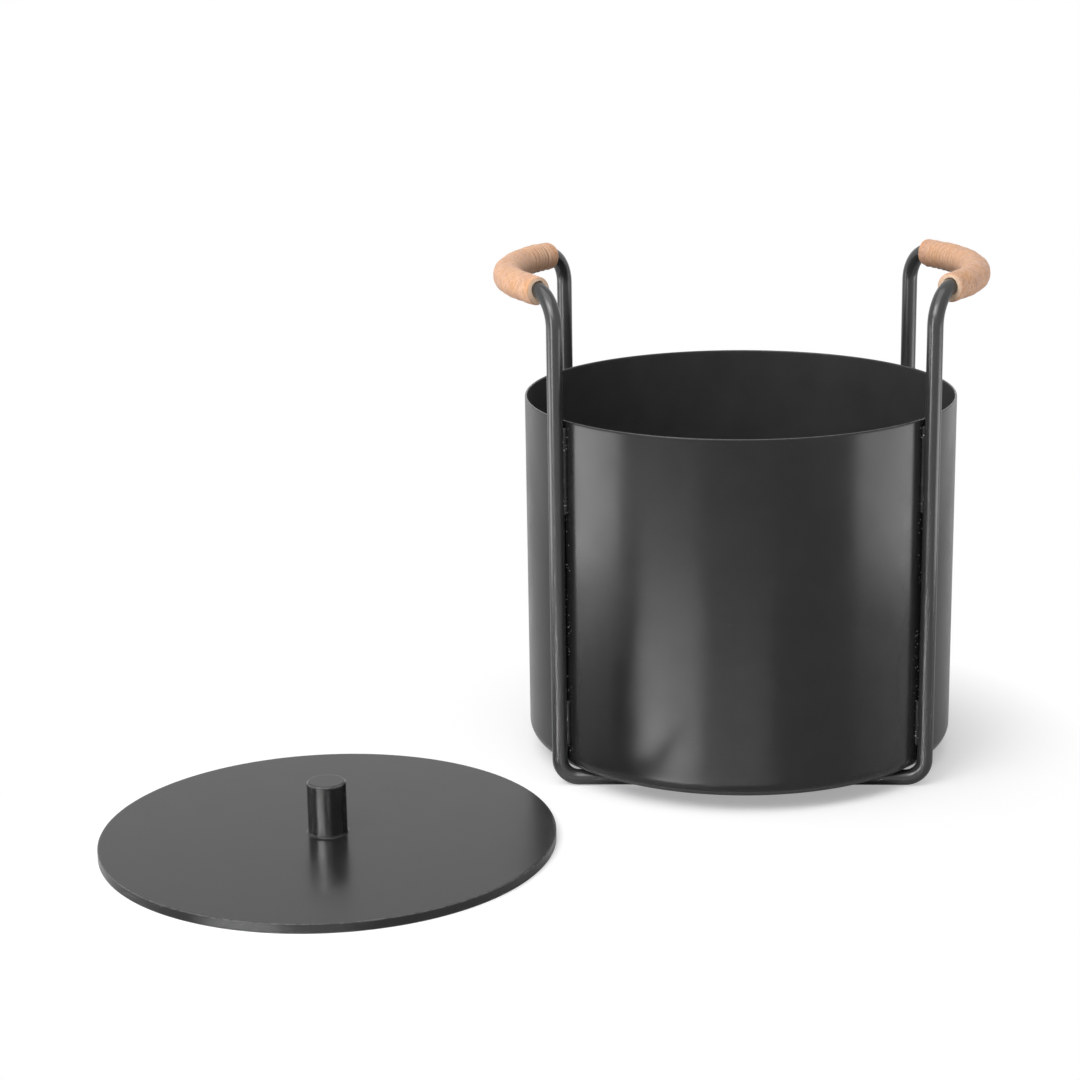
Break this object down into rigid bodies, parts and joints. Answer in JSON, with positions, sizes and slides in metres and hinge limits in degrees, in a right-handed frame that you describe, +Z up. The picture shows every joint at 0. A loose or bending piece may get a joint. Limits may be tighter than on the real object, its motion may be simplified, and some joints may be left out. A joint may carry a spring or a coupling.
{
  "type": "kindling box",
  "caption": "Round sheet-steel kindling bucket welded into a round-rod frame with leather-sleeved side handles, and a loose flat steel lid with a turned knob that lies beside it.",
  "frame": {"origin": "on the floor, at the middle of the footprint of the bucket and the lid that lies beside it", "axes": "+X to the right with the lid on the left, +Y to the back, +Z up; the handles are at the bucket's left and right"},
  "size_m": [0.5534, 0.4645, 0.328],
  "materials": {
    "painted_steel": "satin anthracite coat",
    "leather": "natural vegetable-tanned, satin",
    "waxed_thread": "waxed, dark brown",
    "zinc_steel": "zinc plated"
  },
  "bodies": {
    "bucket": {"bucket_wall": "painted_steel", "bucket_base": "painted_steel", "wall_seam_weld": "painted_steel", "base_seam_weld": "painted_steel", "front_left_rod": "painted_steel", "front_right_rod": "painted_steel", "back_left_rod": "painted_steel", "back_right_rod": "painted_steel", "foot_joint_welds": "painted_steel", "handle_joint_welds": "painted_steel", "front_left_welds": "painted_steel", "front_right_welds": "painted_steel", "back_left_welds": "painted_steel", "back_right_welds": "painted_steel", "front_foot_welds": "painted_steel", "back_foot_welds": "painted_steel", "left_handle_sleeve": "leather", "right_handle_sleeve": "leather", "left_sleeve_thread": "waxed_thread", "right_sleeve_thread": "waxed_thread"},
    "lid": {"lid_plate": "painted_steel", "lid_knob": "painted_steel", "knob_screw": "zinc_steel"}
  },
  "joints": [
    {"name": "lid_lift", "type": "slide", "parent": "bucket", "child": "lid", "axis": [0, 0, 1], "range_m": [0, 0.34]}
  ]
}
